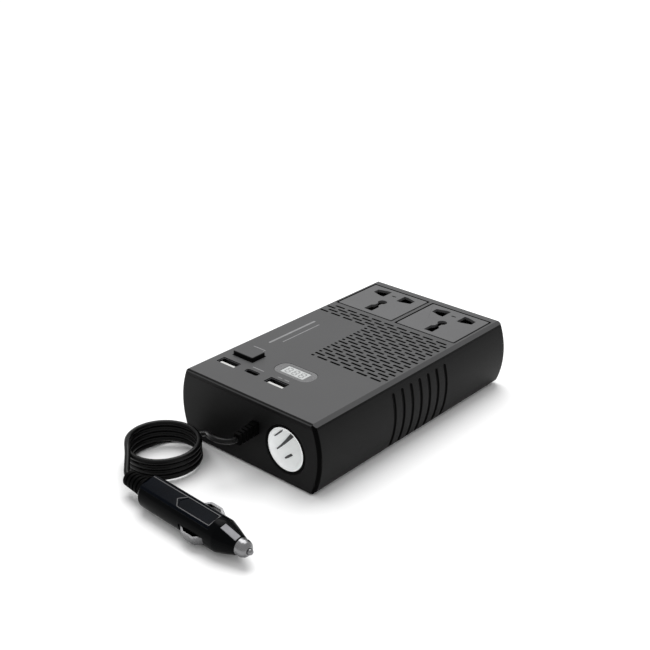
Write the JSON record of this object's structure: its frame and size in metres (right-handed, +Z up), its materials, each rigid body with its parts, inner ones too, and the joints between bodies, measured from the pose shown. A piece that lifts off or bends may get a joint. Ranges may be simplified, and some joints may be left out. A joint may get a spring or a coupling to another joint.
{
  "type": "car power inverter",
  "caption": "Flat car power inverter with universal mains outlets, USB ports, a display, a push button, a front lighter socket and a coiled lead ending in a vehicle plug.",
  "frame": {"origin": "bottom centre of the case, at the level of its feet, the lead and plug left out", "axes": "+X to the right seen from the lighter socket, +Y from the lighter socket to the mains outlets, +Z up"},
  "size_m": [0.1228, 0.2461, 0.0451],
  "materials": {
    "case_black": "fine matt",
    "cover_grey": "satin",
    "plate_grey": "satin",
    "base_black": "matt",
    "contact_brass": "bright",
    "button_dark": "satin",
    "spring_steel": "bright",
    "port_steel": "satin",
    "tongue_white": "satin",
    "board_green": "solder mask",
    "window_smoke": "polished",
    "display_white": "lit",
    "bezel_black": "gloss",
    "sleeve_chrome": "polished",
    "insulator_cream": "matt",
    "cord_black": "satin",
    "plug_gloss": "gloss",
    "inlay_dark": "satin",
    "window_clear": "frosted",
    "nickel": "satin nickel",
    "fuse_glass": "polished",
    "ferrite": "matt",
    "winding_tape": "polyester tape",
    "capacitor_sleeve": "gloss",
    "sink_aluminium": "extruded",
    "choke_copper": "enamelled",
    "fuse_amber": "clear amber",
    "rotor_black": "satin",
    "foot_rubber": "matt",
    "screw_steel": "zinc plated"
  },
  "bodies": {
    "housing": {"lower_case": "case_black", "upper_cover": "cover_grey", "outlet_plate_left": "plate_grey", "outlet_plate_right": "plate_grey", "outlet_base_left": "base_black", "outlet_base_right": "base_black", "outlet_contacts_left": "contact_brass", "outlet_contacts_right": "contact_brass", "switch_body": "base_black", "button_spring": "spring_steel", "usb_a_shell_left": "port_steel", "usb_a_shell_right": "port_steel", "usb_a_tongue_left": "tongue_white", "usb_a_tongue_right": "tongue_white", "usb_c_shell": "port_steel", "usb_c_tongue": "base_black", "charge_board": "board_green", "display_window": "window_smoke", "display_module": "display_white", "lighter_bezel": "bezel_black", "lighter_sleeve": "sleeve_chrome", "lighter_insulator": "insulator_cream", "lighter_contact": "contact_brass", "cord_boot": "cord_black", "cord_lead": "cord_black", "cord_coil": "cord_black", "cord_tail": "cord_black", "plug_relief": "cord_black", "plug_body": "plug_gloss", "plug_inlay": "inlay_dark", "plug_window": "window_clear", "plug_nose_ring": "nickel", "plug_fuse": "fuse_glass", "main_board": "board_green", "transformer_core": "ferrite", "transformer_winding": "winding_tape", "capacitors": "capacitor_sleeve", "heat_sink_left": "sink_aluminium", "heat_sink_right": "sink_aluminium", "power_transistors": "base_black", "output_choke": "choke_copper", "blade_fuse": "fuse_amber", "fan_frame": "base_black", "feet": "foot_rubber", "case_screws": "screw_steel"},
    "button": {"power_button": "button_dark"},
    "fan": {"fan_rotor": "rotor_black"},
    "pin": {"plug_tip": "nickel"},
    "contact_near": {"plug_contact_near": "nickel"},
    "contact_far": {"plug_contact_far": "nickel"}
  },
  "joints": [
    {"name": "power_button_press", "type": "slide", "parent": "housing", "child": "button", "axis": [0, 0, -1], "range_m": [0, 0.0018], "stiffness_N_per_m": 600, "springref_m": -0.0005, "deforming": ["button_spring"]},
    {"name": "fan_spin", "type": "hinge", "parent": "housing", "child": "fan", "pos_m": [0.0195, 0.002, 0.031], "axis": [0, 0, 1], "continuous": true},
    {"name": "plug_pin_press", "type": "slide", "parent": "housing", "child": "pin", "axis": [-0.9993, 0.0384, 0], "range_m": [0, 0.0015], "stiffness_N_per_m": 1500, "springref_m": -0.0005},
    {"name": "plug_contact_near_press", "type": "slide", "parent": "housing", "child": "contact_near", "axis": [0.0361, 0.939, 0.342], "range_m": [0, 0.0016], "stiffness_N_per_m": 1500, "springref_m": -0.0005},
    {"name": "plug_contact_far_press", "type": "slide", "parent": "housing", "child": "contact_far", "axis": [-0.0361, -0.939, -0.342], "range_m": [0, 0.0016], "stiffness_N_per_m": 1500, "springref_m": -0.0005}
  ]
}
